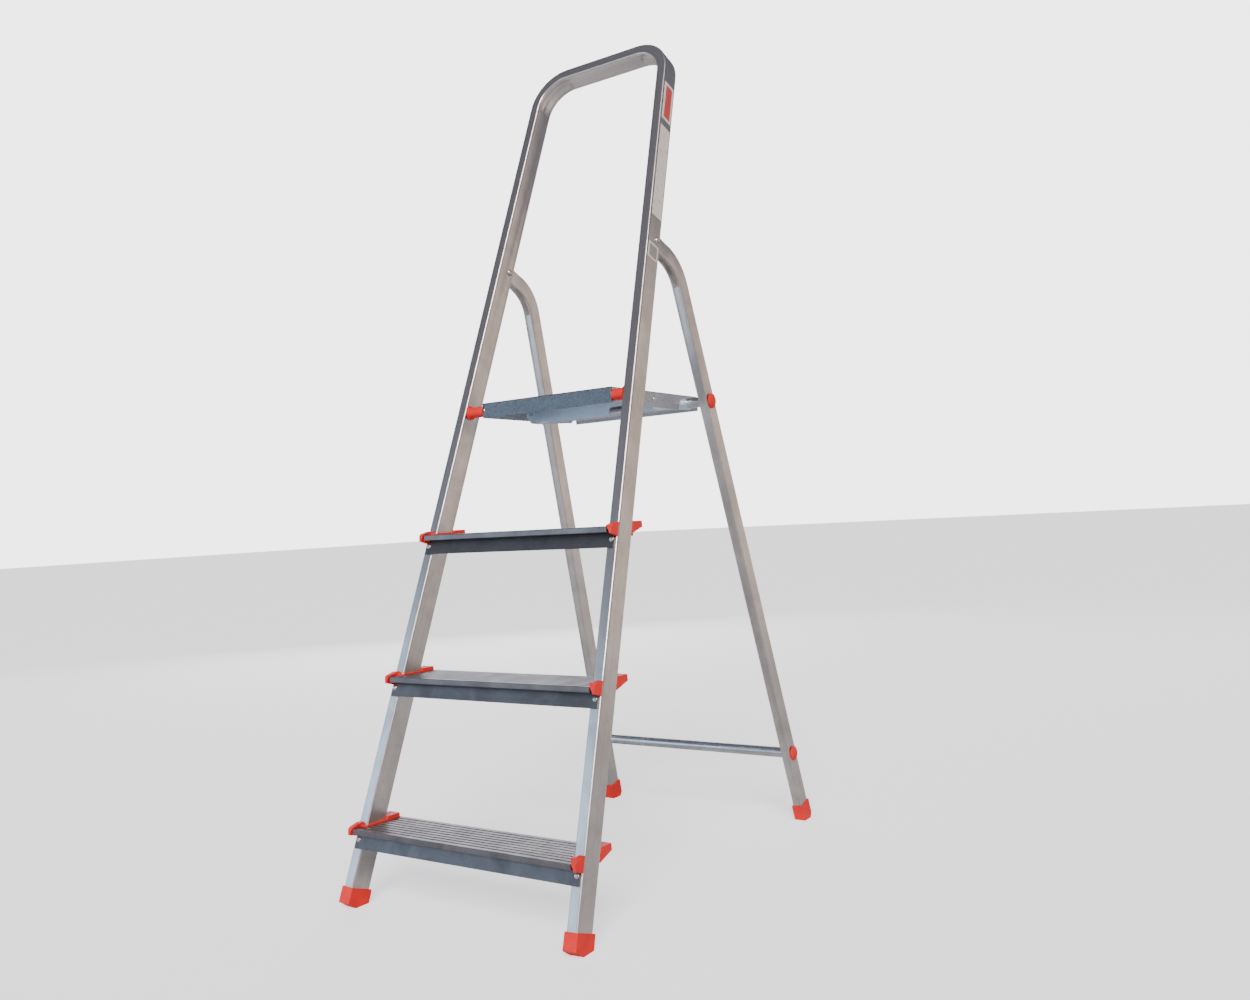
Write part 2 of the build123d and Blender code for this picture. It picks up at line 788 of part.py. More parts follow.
with BuildPart() as tray:
    with BuildSketch(Plane.XY.offset(tray_low)):
        with Locations(tray_centre):
            Rectangle(2 * platform_half_width, tray_length)
    extrude(amount=deck_top - tray_low)
    fillet(tray.edges().group_by(Axis.Z)[-1], radius=fold_radius)
    with BuildSketch(Plane.XY.offset(tray_low)):
        with Locations(tray_centre):
            Rectangle(2 * tray_inside, tray_length - 2 * sheet)
    extrude(amount=deck_under - tray_low, mode=Mode.SUBTRACT)
    # raised beads across the deck
    with BuildSketch(Plane.XY.offset(deck_top)):
        with Locations(tray_centre):
            with GridLocations(1, bead_pitch, 1, bead_count):
                SlotOverall(2 * (platform_half_width - bead_margin), bead_width)
    extrude(amount=bead_height, taper=bead_taper)
    # the side flanges are cut away over the rest rod, and sit on it
    with BuildSketch(Plane.YZ.offset(tray_left - sheet)):
        with BuildLine():
            Line((relief_low, tray_low - sheet), (relief_low, tray_low))
            RadiusArc((relief_low, tray_low), (relief_high, saddle), 3 * rod_radius)
            Polyline(
                (relief_high, saddle),
                (tray_rear - 2 * sheet, saddle),
                (tray_rear - 2 * sheet, tray_low - sheet),
                (relief_low, tray_low - sheet),
            )
        make_face()
    extrude(amount=tray_right - tray_left + 2 * sheet, mode=Mode.SUBTRACT)
    # open fold at both ends of the front band
    with BuildSketch(Plane.XZ.offset(-tray_front - sheet)):
        for side in sides.values():
            with Locations(
                (
                    platform_middle + side * (platform_half_width - notch_width),
                    deck_top - notch_top - notch_height / 2,
                )
            ):
                SlotOverall(notch_height, notch_width, rotation=90)
    extrude(amount=3 * sheet, mode=Mode.SUBTRACT)
    # holes for the front pivot studs and the link pivots
    add(front_bore, mode=Mode.SUBTRACT)
    add(link_bore, mode=Mode.SUBTRACT)
save(tray.part, "platform_tray")

# ================================================================ platform front pivot
flange_seat = 1.0  # the bushing's flange stands off the slanting stile
pin_past_wall = 0.8

for name, side in sides.items():
    pin_start = platform_half_width + side * platform_middle + side_gap
    with BuildPart() as bushing:
        with BuildSketch(Plane.YZ.offset(side * pin_start)):
            with Locations((platform_pivot.Y, platform_pivot.Z)):
                Circle(bushing_radius)
                Circle(pin_radius, mode=Mode.SUBTRACT)
        extrude(amount=side * (stile_inside - flange_seat - pin_start))
        with BuildSketch(Plane.YZ.offset(side * (stile_inside - flange_seat))):
            with Locations((platform_pivot.Y, platform_pivot.Z)):
                Circle(bushing_flange_radius)
                Circle(pin_radius, mode=Mode.SUBTRACT)
        extrude(amount=-side * bushing_flange)
    save(bushing.part, f"platform_bushing_{name}")

with BuildPart() as platform_pins:
    for side in sides.values():
        pin_start = platform_half_width + side * platform_middle + side_gap
        pin_end = stile_inside + stile_wall + pin_past_wall
        with BuildSketch(Plane.YZ.offset(side * pin_start)):
            with Locations((platform_pivot.Y, platform_pivot.Z)):
                Circle(pin_radius)
        extrude(amount=side * (pin_end - pin_start))
        with BuildSketch(Plane.YZ.offset(side * pin_end)):
            with Locations((platform_pivot.Y, platform_pivot.Z)):
                Circle(pin_head_radius)
        extrude(amount=side * pin_head, taper=head_taper)
save(platform_pins.part, "platform_pivot_pins")

with BuildPart() as studs:
    for side in sides.values():
        inner_face = platform_middle + side * tray_inside
        with BuildSketch(Plane.YZ.offset(inner_face)):
            with Locations((platform_pivot.Y, platform_pivot.Z)):
                Circle(pin_radius)
        extrude(amount=side * sheet)
        with BuildSketch(Plane.YZ.offset(inner_face)):
            with Locations((platform_pivot.Y, platform_pivot.Z)):
                Circle(pin_head_radius)
        extrude(amount=-side * pin_head, taper=head_taper)
save(studs.part, "platform_pivot_studs")

# ================================================================ folding link under the platform
arm_outer = tray_inside - side_gap
arm_inner = arm_outer - link_sheet
bar_front = link_pivot_y + link_bar_back
height = platform_pivot_height
# The plate's front end turns under the deck, so it is round about the link pivot. The slope from
# there down to the bar lies flat under the deck when the ladder is folded.
link_ear = deck_under - height - side_gap
ear_edge = pi / 2 + link_turn  # direction of the point where the slope starts, from +Y
ear_y = link_pivot_y + link_ear * cos(ear_edge)
ear_z = height + link_ear * sin(ear_edge)
bar_bottom = height - link_bar_low
slope_end = ear_y - (bar_bottom - ear_z) * tan(ear_edge)
arm_low = 12.0  # the plates keep the bar's depth this far behind it
arm_high = 20.0
eye_side = 2.0  # the plates' edges run to points this far in front of the eye's middle

with BuildPart() as link:
    for side in sides.values():
        with BuildSketch(Plane.YZ.offset(platform_middle + side * arm_inner)):
            with BuildLine():
                Polyline(
                    (link_pivot_y, height),
                    (ear_y, ear_z),
                    (slope_end, bar_bottom),
                    (bar_front + arm_low, bar_bottom),
                    (rod[0] - eye_side, rod[1] - sqrt(link_eye**2 - eye_side**2)),
                    (rod[0] - eye_side, rod[1] + link_eye - eye_side),
                    (bar_front + arm_high, height + link_bar_high),
                    (link_pivot_y, height + link_bar_high),
                    close=True,
                )
            make_face()
            with Locations((link_pivot_y, height)):
                Circle(link_ear)
            with Locations(rod):
                Circle(link_eye)
                Circle(rod_radius + running_gap, mode=Mode.SUBTRACT)
            with Locations((link_pivot_y, height)):
                Circle(link_pin_radius + running_gap, mode=Mode.SUBTRACT)
        extrude(amount=side * link_sheet)
    with BuildSketch(Plane.XZ.offset(-bar_front - link_sheet)):
        with Locations((platform_middle, bar_bottom)):
            Rectangle(
                2 * arm_inner,
                link_bar_low + link_bar_high,
                align=(Align.CENTER, Align.MIN),
            )
        slot_middle = platform_middle + arm_inner - slot_from_end - slot_length / 2
        with Locations((slot_middle, height - slot_drop)):
            SlotOverall(slot_length, slot_height, mode=Mode.SUBTRACT)
    extrude(amount=link_sheet)
save(link.part, "platform_link")

with BuildPart() as link_pins:
    for side in sides.values():
        outer_face = platform_middle + side * platform_half_width
        inner_face = platform_middle + side * (arm_inner - side_gap)
        with BuildSketch(Plane.YZ.offset(inner_face)):
            with Locations((link_pivot_y, height)):
                Circle(link_pin_radius)
        extrude(amount=outer_face - inner_face)
        with BuildSketch(Plane.YZ.offset(outer_face)):
            with Locations((link_pivot_y, height)):
                Circle(rivet_head_radius)
        extrude(amount=side * rivet_head, taper=head_taper)
        with BuildSketch(Plane.YZ.offset(inner_face)):
            with Locations((link_pivot_y, height)):
                Circle(rivet_head_radius)
        extrude(amount=-side * rivet_head, taper=head_taper)
save(link_pins.part, "link_pins")

# ================================================================ labels on the right stile
label_margin = 3.0


def make_label(low, high):
    """A thin plain label on the outer side of the right stile."""
    start = outer_edge(low)
    with BuildPart() as label:
        with BuildSketch(FRONT.offset(-stile_corner - label_margin / 2)):
            with BuildLine():
                Polyline(*band_points(1, -label_thickness, 0, low, high), close=True)
            make_face()
        extrude(amount=-(stile_depth - 2 * stile_corner - label_margin))
    return label.part


labels = {
    "label_notice": (pivot_along + 44, pivot_along + 235),
    "label_emblem": (pivot_along + 250, pivot_along + 330),
    "label_type": (pivot_along - 42, pivot_along - 12),
}
for name, (low, high) in labels.items():
    save(make_label(low, high), name)

# ================================================================ placing and writing the pieces
boxes = [part.bounding_box() for part in pieces.values()]
foremost = min(box.min.Y for box in boxes)
rearmost = max(box.max.Y for box in boxes)
to_middle = Location((0, -(foremost + rearmost) / 2, 0))
for name, part in pieces.items():
    placed = part.moved(to_middle)
    placed.label = name
    export_step(placed, f"parts/{name}.step")
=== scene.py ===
import json
import math

import bmesh
import bpy
from mathutils import Matrix, Vector


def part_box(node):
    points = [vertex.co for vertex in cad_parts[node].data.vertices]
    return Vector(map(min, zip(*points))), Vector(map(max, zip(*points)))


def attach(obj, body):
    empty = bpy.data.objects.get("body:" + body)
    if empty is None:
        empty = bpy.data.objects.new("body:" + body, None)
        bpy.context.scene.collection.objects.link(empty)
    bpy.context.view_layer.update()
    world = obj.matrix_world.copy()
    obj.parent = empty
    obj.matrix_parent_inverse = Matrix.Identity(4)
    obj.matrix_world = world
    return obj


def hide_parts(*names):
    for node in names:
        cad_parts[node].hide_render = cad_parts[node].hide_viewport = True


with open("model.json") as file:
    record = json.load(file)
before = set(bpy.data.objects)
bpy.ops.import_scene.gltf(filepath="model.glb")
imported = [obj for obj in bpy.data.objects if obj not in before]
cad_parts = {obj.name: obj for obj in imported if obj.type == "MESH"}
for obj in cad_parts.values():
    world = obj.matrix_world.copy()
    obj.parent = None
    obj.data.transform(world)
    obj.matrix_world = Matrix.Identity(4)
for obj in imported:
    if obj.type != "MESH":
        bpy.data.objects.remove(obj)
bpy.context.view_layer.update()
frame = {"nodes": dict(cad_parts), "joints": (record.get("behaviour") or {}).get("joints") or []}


# ---------------------------------------------------------------------------------------- camera
# A short lens a little below half the ladder's height, in front of the right stile and turned
# towards the ladder, held with a slight tilt.
camera_data = bpy.data.cameras.new("camera")
camera_data.sensor_fit = "HORIZONTAL"
camera_data.sensor_width = 36.0
camera_data.lens = 31.82
camera_data.clip_end = 60.0
camera = bpy.data.objects.new("camera", camera_data)
bpy.context.scene.collection.objects.link(camera)
camera.matrix_world = (
    Matrix.Translation((1.198, -1.6451, 0.6191))
    @ Matrix.Rotation(math.radians(33.736), 4, "Z")
    @ Matrix.Rotation(math.radians(90.955), 4, "X")
    @ Matrix.Rotation(math.radians(-3.062), 4, "Z")
)
bpy.context.scene.camera = camera


# ------------------------------------------------------------------------------ floor and lights
# A plain pale floor under one wide sun, high in front on the right. A cool card stands in front on
# the left, a warm one behind on the right, a neutral one behind on the left and a faint one on the
# right. Floor and backdrop are brighter to the camera than they are in reflections.
def shader(material, kind, links=(), **values):
    """Adds a node to a material or world, sets its inputs and links [(input, output socket)]."""
    node = material.node_tree.nodes.new(kind)
    for key, value in values.items():
        if hasattr(node, key):
            setattr(node, key, value)
        else:
            node.inputs[key.replace("_", " ")].default_value = value
    for name, socket in links:
        material.node_tree.links.new(socket, node.inputs[name])
    return node


def new_material(name):
    """An empty node material with its Principled shader."""
    material = bpy.data.materials.new(name)
    material.use_nodes = True
    return material, material.node_tree.nodes["Principled BSDF"]


def wire(material, socket, node, name):
    """Links an output socket to a node's input."""
    material.node_tree.links.new(socket, node.inputs[name])


floor_paint, floor_shader = new_material("floor_paint")
floor_shader.inputs["Roughness"].default_value = 0.8
floor_shader.inputs["Emission Color"].default_value = (1, 1, 1, 1)
seen = shader(floor_paint, "ShaderNodeLightPath").outputs["Is Camera Ray"]
paleness = shader(floor_paint, "ShaderNodeMapRange", [("Value", seen)], To_Min=0.62, To_Max=0.95)
wire(floor_paint, paleness.outputs[0], floor_shader, "Base Color")
glow = shader(floor_paint, "ShaderNodeMapRange", [("Value", seen)], To_Min=0.0, To_Max=1.0)
wire(floor_paint, glow.outputs[0], floor_shader, "Emission Strength")
FLOOR_REACH = 40.0
floor_mesh = bpy.data.meshes.new("floor")
bm = bmesh.new()
bmesh.ops.create_grid(bm, x_segments=1, y_segments=1, size=FLOOR_REACH)
bm.to_mesh(floor_mesh)
bm.free()
floor_mesh.materials.append(floor_paint)
floor = bpy.data.objects.new("floor", floor_mesh)
bpy.context.scene.collection.objects.link(floor)

# The studio's walls are dim above and lighter towards the floor; the backdrop behind the ladder
# is white.
studio = bpy.data.worlds.new("studio")
bpy.context.scene.world = studio
studio.use_nodes = True
surround = studio.node_tree.nodes["Background"]
surround.inputs["Strength"].default_value = 1.0
way = shader(studio, "ShaderNodeTexCoord")
height = shader(studio, "ShaderNodeSeparateXYZ", [(0, way.outputs["Generated"])])
walls = shader(studio, "ShaderNodeValToRGB", [(0, height.outputs["Z"])])
walls.color_ramp.elements[0].position = 0.0
walls.color_ramp.elements[0].color = (0.22, 0.24, 0.29, 1)
walls.color_ramp.elements[1].position = 0.75
walls.color_ramp.elements[1].color = (0.14, 0.15, 0.195, 1)
wire(studio, walls.outputs["Color"], surround, "Color")
backdrop = shader(studio, "ShaderNodeBackground", Color=(1, 1, 1, 1), Strength=4.0)
direct = shader(studio, "ShaderNodeLightPath")
choose = shader(
    studio,
    "ShaderNodeMixShader",
    [(0, direct.outputs["Is Camera Ray"]), (1, surround.outputs[0]), (2, backdrop.outputs[0])],
)
wire(studio, choose.outputs[0], studio.node_tree.nodes["World Output"], "Surface")


LADDER_MIDDLE = Vector((0.0, 0.0, 0.7))


def add_lamp(name, kind, place, energy, tint):
    """A lamp that points at the middle of the ladder and isn't seen itself."""
    lamp_data = bpy.data.lights.new(name, kind)
    lamp_data.energy = energy
    lamp_data.color = tint
    lamp = bpy.data.objects.new(name, lamp_data)
    bpy.context.scene.collection.objects.link(lamp)
    lamp.location = place
    aim = LADDER_MIDDLE - Vector(place)
    lamp.rotation_euler = aim.to_track_quat("-Z", "Y").to_euler()
    lamp.visible_camera = False
    return lamp_data


add_lamp("main", "SUN", (1.9, -3.4, 3.7), 3.1, (1.0, 0.96, 0.92)).angle = math.radians(28)
for name, place, size, power, tint in (
    ("cool_card", (-2.6, -3.1, 1.0), (3.6, 1.9), 44, (0.50, 0.73, 1.0)),
    ("warm_card", (2.7, 3.6, 1.25), (3.4, 2.2), 17, (1.0, 0.78, 0.60)),
    ("rear_card", (-2.9, 3.0, 1.5), (3.0, 1.8), 52, (0.92, 0.93, 1.0)),
    ("right_card", (3.6, -1.6, 1.8), (2.6, 2.6), 14, (1.0, 0.90, 0.82)),
):
    card = add_lamp(name, "AREA", place, power, tint)
    card.shape = "RECTANGLE"
    card.size, card.size_y = size


# ------------------------------------------------------------------------------ front frame tube
# One extruded aluminium tube, 40 x 20 mm, bent into a hoop on a former that leaves the inner
# side of both bends pressed in. It is bare metal with die lines along its length.
LEAN = math.radians(19.84)
TAPER = 0.0527
STILE_DEPTH = 0.040
STILE_WIDTH = 0.020
STILE_ACROSS = STILE_WIDTH / math.cos(math.atan(TAPER))
FRAME_HALF_WIDTH = 0.242
PIVOT_DEPTH = 0.029
HOOP_BEND = 0.066
HOOP_REACH = 0.03
HOOP_WALL = 0.0075


WELD = 2e-5
FLAT = 0.01


def node_copy(node):
    """A merged copy of a CAD node's mesh, with its flat faces joined into single faces."""
    bm = bmesh.new()
    bm.from_mesh(frame["nodes"][node].data)
    bmesh.ops.remove_doubles(bm, verts=bm.verts, dist=WELD)
    bmesh.ops.dissolve_limit(bm, angle_limit=FLAT, verts=bm.verts, edges=bm.edges)
    return bm


SHARP = math.radians(35)


def finish_piece(bm, name, material, body, node):
    """Makes a piece from a bmesh, smooth but for its sharp edges, in place of a CAD node."""
    mesh = bpy.data.meshes.new(name)
    for face in bm.faces:
        face.smooth = True
    bm.to_mesh(mesh)
    bm.free()
    mesh.set_sharp_from_angle(angle=SHARP)
    mesh.materials.append(material)
    piece = bpy.data.objects.new(name, mesh)
    bpy.context.scene.collection.objects.link(piece)
    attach(piece, body)
    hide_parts(node)
    return piece


def soften(piece, width, segments):
    """Rounds a piece's sharp edges."""
    bevel = piece.modifiers.new("soft_edges", "BEVEL")
    bevel.width = width
    bevel.segments = segments
    bevel.limit_method = "ANGLE"
    bevel.angle_limit = SHARP


def ease(value):
    """Rises smoothly from 0 to 1."""
    value = min(max(value, 0.0), 1.0)
    return value * value * (3 - 2 * value)


def press_in(point, half_width, corner, along, run, deep, lead, ramp):
    """How far the inner wall of a bend is pressed in at this point of its width and length."""
    share = abs(point) / (half_width - corner)
    if share >= 1:
        return 0.0
    across = (1 - share * share) ** 2
    late = 0.45 * lead * share * share
    rise = ease((along + lead - late) / ramp)
    fall = ease((run + lead - late - along) / ramp)
    return deep * across * min(rise, fall)


# The leg pivots place the leaning front face of the stiles.
pivot = Vector(frame["joints"][0]["pos_m"])
pivot_along = (pivot.z + PIVOT_DEPTH * math.sin(LEAN)) / math.cos(LEAN)
face_foot = pivot.y - pivot_along * math.sin(LEAN) - PIVOT_DEPTH * math.cos(LEAN)
hoop_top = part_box("front_frame_tube")[1].z / math.cos(LEAN)
bend_along = hoop_top - STILE_WIDTH / 2 - HOOP_BEND
bend_slant = math.atan(TAPER)


def stile_middle(along):
    """X of the right stile's middle at this length along the frame."""
    return FRAME_HALF_WIDTH - TAPER * along - STILE_ACROSS / 2


bend_x = stile_middle(bend_along) - HOOP_BEND / math.cos(bend_slant)
stile_way = Vector((-math.sin(bend_slant), math.cos(bend_slant)))
stile_out = Vector((math.cos(bend_slant), math.sin(bend_slant)))
bend_run = HOOP_BEND * (math.pi / 2 - bend_slant)


def hoop_place(co):
    """Length along the tube from a bend's start, distance to its inner side, and depth."""
    along = (co.y - face_foot) * math.sin(LEAN) + co.z * math.cos(LEAN)
    depth = (co.y - face_foot) * math.cos(LEAN) - co.z * math.sin(LEAN)
    rel = Vector((abs(co.x) - bend_x, along - bend_along))
    angle = math.atan2(rel.y, rel.x)
    if rel.x < 0 and rel.y > 0:
        return bend_run - rel.x, HOOP_BEND - rel.y, depth
    if angle < bend_slant or rel.y <= 0:
        return rel.dot(stile_way), HOOP_BEND - rel.dot(stile_out), depth
    return HOOP_BEND * (angle - bend_slant), HOOP_BEND - rel.length, depth


def hoop_inward(co):
    """Direction from the tube's middle line to the outer side of the bend."""
    along = (co.y - face_foot) * math.sin(LEAN) + co.z * math.cos(LEAN)
    rel = Vector((abs(co.x) - bend_x, along - bend_along))
    side = math.copysign(1.0, co.x)
    angle = min(max(math.atan2(rel.y, rel.x), bend_slant), math.pi / 2)
    return Vector(
        (
            side * math.cos(angle),
            math.sin(angle) * math.sin(LEAN),
            math.sin(angle) * math.cos(LEAN),
        )
    )


def inner_wall(bm, place, wall, reach, bend_length):
    """The faces of a bend's inner wall, within reach of the bend."""
    found = []
    for face in bm.faces:
        run, inner, _ = place(face.calc_center_median())
        if inner > wall and -reach < run < reach + bend_length:
            found.append(face)
    return found


def cut_faces(bm, faces, co, no):
    """Cuts the given faces along a plane."""
    geom = set(faces)
    for face in faces:
        geom.update(face.edges)
        geom.update(face.verts)
    bmesh.ops.bisect_plane(bm, geom=list(geom), plane_co=co, plane_no=no, dist=1e-6)


def hoop_wall(bm, side):
    """The inner wall of the hoop's bend on one side."""
    wall = inner_wall(bm, hoop_place, HOOP_WALL, HOOP_REACH, bend_run)
    return [face for face in wall if face.calc_center_median().x * side > 0]


bm = node_copy("front_frame_tube")
up_face = Vector((0, math.sin(LEAN), math.cos(LEAN)))
back_face = Vector((0, math.cos(LEAN), -math.sin(LEAN)))
foot_point = Vector((0, face_foot, 0))
BEND_CUTS = 30
for side in (-1, 1):
    centre = foot_point + up_face * bend_along + Vector((side * bend_x, 0, 0))
    for step in range(BEND_CUTS + 1):
        angle = bend_slant + step * (math.pi / 2 - bend_slant) / BEND_CUTS
        way = Vector((side * math.cos(angle), 0, 0)) + up_face * math.sin(angle)
        cut_faces(bm, hoop_wall(bm, side), centre, way.cross(back_face))
DEPTH_CUT = 0.004
for step in range(1, 10):
    wall = inner_wall(bm, hoop_place, HOOP_WALL, HOOP_REACH, bend_run)
    cut_faces(bm, wall, foot_point + back_face * (DEPTH_CUT * step), back_face)
LEAD_CUT = 0.003
for side in (-1, 1):
    centre = foot_point + up_face * bend_along + Vector((side * bend_x, 0, 0))
    way = Vector((side * stile_way.x, 0, 0)) + up_face * stile_way.y
    for step in range(1, 7):
        wall = hoop_wall(bm, side)
        cut_faces(bm, wall, centre - way * (LEAD_CUT * step), way)
        along_bar = Vector((side * LEAD_CUT * step, 0, 0))
        cut_faces(bm, wall, centre - along_bar, Vector((1, 0, 0)))
grain = bm.verts.layers.float_vector.new("grain")
for vert in bm.verts:
    run, inner, depth = hoop_place(vert.co)
    vert[grain] = (run, inner, depth)
    if inner > HOOP_WALL:
        push = press_in(
            depth - STILE_DEPTH / 2, half_width=STILE_DEPTH / 2, corner=0.0028, along=run,
            run=bend_run, deep=0.0068, lead=0.010, ramp=0.012,
        )
        vert.co += hoop_inward(vert.co) * push


SMUDGE_DULLS = 0.1


def bare_metal(name, base, rough, streak, smudge, grained=False, top_wear_and_light=1.0):
    """Bare extruded metal: die lines along its length, smudges, fine scratches, pits, and faces
    marked worn made lighter, partly wear and partly painted light.
    """
    material, surface = new_material(name)
    if grained:
        place = shader(material, "ShaderNodeAttribute", attribute_name="grain").outputs["Vector"]
    else:
        place = shader(material, "ShaderNodeTexCoord").outputs["Object"]
    drawn = shader(material, "ShaderNodeMapping", [("Vector", place)], Scale=streak)
    lines = shader(
        material, "ShaderNodeTexNoise", [("Vector", drawn.outputs[0])],
        Scale=1.0, Detail=6.0, Roughness=0.65,
    )
    coarse = shader(
        material, "ShaderNodeMapping", [("Vector", place)],
        Scale=(streak[0] * 0.5, streak[1] * 0.18, streak[2] * 0.18),
    )
    bands = shader(
        material, "ShaderNodeTexNoise", [("Vector", coarse.outputs[0])],
        Scale=1.0, Detail=2.0, Roughness=0.5,
    )
    patches = shader(
        material, "ShaderNodeTexNoise", [("Vector", place)],
        Scale=smudge, Detail=5.0, Roughness=0.6, Distortion=0.6,
    )
    specks = shader(
        material, "ShaderNodeTexNoise", [("Vector", place)],
        Scale=260.0, Detail=3.0, Roughness=0.7,
    )
    fleck = shader(
        material, "ShaderNodeMapRange", [("Value", specks.outputs["Fac"])],
        From_Min=0.66, From_Max=0.74,
    )
    tone = shader(
        material, "ShaderNodeMapRange", [("Value", bands.outputs["Fac"])],
        From_Min=0.3, From_Max=0.7, To_Min=0.94, To_Max=1.03,
    )
    patch_tone = shader(
        material, "ShaderNodeMapRange", [("Value", patches.outputs["Fac"])],
        From_Min=0.35, From_Max=0.7, To_Min=1.08, To_Max=0.80,
    )
    both = shader(
        material, "ShaderNodeMath",
        [(0, tone.outputs[0]), (1, patch_tone.outputs[0])], operation="MULTIPLY",
    )
    # Faces marked worn are made lighter by the top factor: partly wear, partly painted light on the
    # treads' tops.
    worn = shader(material, "ShaderNodeAttribute", attribute_name="worn")
    wear_and_top_light = shader(
        material, "ShaderNodeMapRange", [("Value", worn.outputs["Fac"])],
        To_Min=1.0, To_Max=top_wear_and_light,
    )
    polish_and_top_light = shader(
        material, "ShaderNodeMath",
        [(0, both.outputs[0]), (1, wear_and_top_light.outputs[0])], operation="MULTIPLY",
    )
    shade = shader(
        material, "ShaderNodeVectorMath", [(1, polish_and_top_light.outputs[0])], operation="MULTIPLY",
    )
    shade.inputs[0].default_value = base
    marked = shader(
        material, "ShaderNodeMix",
        [(0, fleck.outputs[0]), (6, shade.outputs[0])], data_type="RGBA",
    )
    marked.inputs[7].default_value = (base[0] * 0.45, base[1] * 0.43, base[2] * 0.42, 1)
    wire(material, marked.outputs[2], surface, "Base Color")
    grit = shader(
        material, "ShaderNodeMath",
        [(0, lines.outputs["Fac"]), (1, patches.outputs["Fac"])], operation="ADD",
    )
    roughness = shader(
        material, "ShaderNodeMapRange", [("Value", grit.outputs[0])],
        From_Min=0.7, From_Max=1.35, To_Min=rough, To_Max=rough + SMUDGE_DULLS,
    )
    wire(material, roughness.outputs[0], surface, "Roughness")
    relief = shader(
        material, "ShaderNodeBump", [("Height", lines.outputs["Fac"])],
        Strength=0.12, Distance=0.0004,
    )
    dents = shader(
        material, "ShaderNodeBump",
        [("Height", patches.outputs["Fac"]), ("Normal", relief.outputs[0])],
        Strength=0.18, Distance=0.0012,
    )
    wire(material, dents.outputs[0], surface, "Normal")
    surface.inputs["Metallic"].default_value = 1.0
    return material


tube_metal = bare_metal(
    "bare_tube", (0.70, 0.645, 0.61), 0.27, streak=(6.0, 900.0, 900.0), smudge=14.0, grained=True
)
finish_piece(bm, "hoop", tube_metal, "front_frame", "front_frame_tube")


# ------------------------------------------------------------------------------------- the steps
# Three extruded aluminium treads with fine lengthwise grooves, a nosing and a flange on the
# stiles. Their tops are coloured far lighter than their fronts and flanges: partly wear from feet,
# partly painted light falling from above. The groove walls and the nosing get a share of it.
tread_metal = bare_metal(
    "worn_and_top_lit_tread", (0.150, 0.136, 0.136), 0.40, streak=(5.0, 700.0, 700.0), smudge=22.0,
    top_wear_and_light=2.45,
)
TREAD_SKIN = 0.0003
GROOVE_REACH = 0.0012
NOSING_REACH = 0.004
LESS_WORN_AND_LIT = 0.35
for number in (1, 2, 3):
    bm = node_copy(f"step_{number}")
    low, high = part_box(f"step_{number}")
    # The top skin gets all of the lightening, the groove walls and the nosing front about a third
    # of it: partly wear, partly painted light from above.
    worn = bm.verts.layers.float.new("worn")
    for vert in bm.verts:
        below = high.z - vert.co.z
        if below < TREAD_SKIN:
            vert[worn] = 1.0
        elif below < GROOVE_REACH or vert.co.y < low.y + NOSING_REACH:
            vert[worn] = LESS_WORN_AND_LIT
    step = finish_piece(
        bm, f"tread_{number}", tread_metal, "front_frame", f"step_{number}"
    )
    soften(step, 0.0003, segments=1)


# ------------------------------------------------------------------------------ red moulded ends
# Collars, feet, caps and bushings are injection moulded in red polypropylene, slightly glossy,
# with small scuffs spread all over them.
def moulded_red(name, base, rough):
    """Moulded polypropylene: slightly cloudy, duller and darker where it is scuffed."""
    material, surface = new_material(name)
    place = shader(material, "ShaderNodeTexCoord").outputs["Object"]
    cloud = shader(
        material, "ShaderNodeTexNoise", [("Vector", place)], Scale=35.0, Detail=5.0, Roughness=0.6
    )
    scuffs = shader(
        material, "ShaderNodeTexNoise", [("Vector", place)],
        Scale=150.0, Detail=6.0, Roughness=0.72, Distortion=1.5,
    )
    worn = shader(
        material, "ShaderNodeMapRange", [("Value", scuffs.outputs["Fac"])],
        From_Min=0.60, From_Max=0.78, To_Min=0.0, To_Max=0.45,
    )
    tone = shader(
        material, "ShaderNodeMapRange", [("Value", cloud.outputs["Fac"])],
        From_Min=0.3, From_Max=0.7, To_Min=0.88, To_Max=1.08,
    )
    shade = shader(
        material, "ShaderNodeVectorMath", [(1, tone.outputs[0])], operation="MULTIPLY"
    )
    shade.inputs[0].default_value = base
    colour = shader(
        material, "ShaderNodeMix",
        [(0, worn.outputs[0]), (6, shade.outputs[0])], data_type="RGBA",
    )
    colour.inputs[7].default_value = (0.50, 0.06, 0.05, 1)
    wire(material, colour.outputs[2], surface, "Base Color")
    gloss = shader(
        material, "ShaderNodeMapRange", [("Value", scuffs.outputs["Fac"])],
        From_Min=0.3, From_Max=0.75, To_Min=rough, To_Max=rough + 0.22,
    )
    wire(material, gloss.outputs[0], surface, "Roughness")
    bump = shader(
        material, "ShaderNodeBump", [("Height", scuffs.outputs["Fac"])],
        Strength=0.15, Distance=0.0004,
    )
    wire(material, bump.outputs[0], surface, "Normal")
    surface.inputs["Specular IOR Level"].default_value = 0.3
    return material


red_plastic = moulded_red("red_plastic", (0.97, 0.026, 0.020), 0.36)
ON_REAR_FRAME = ("rear_foot", "rest_rod_cap", "cross_tube_cap")
ON_FRONT_FRAME = ("step_collar", "front_foot", "platform_bushing")
for node in sorted(frame["nodes"]):
    if not node.startswith(ON_REAR_FRAME + ON_FRONT_FRAME):
        continue
    body = "rear_frame" if node.startswith(ON_REAR_FRAME) else "front_frame"
    moulding = finish_piece(
        node_copy(node), "moulded_" + node, red_plastic, body, node
    )
    if "_cap_" not in node:
        soften(moulding, 0.0007, segments=2)


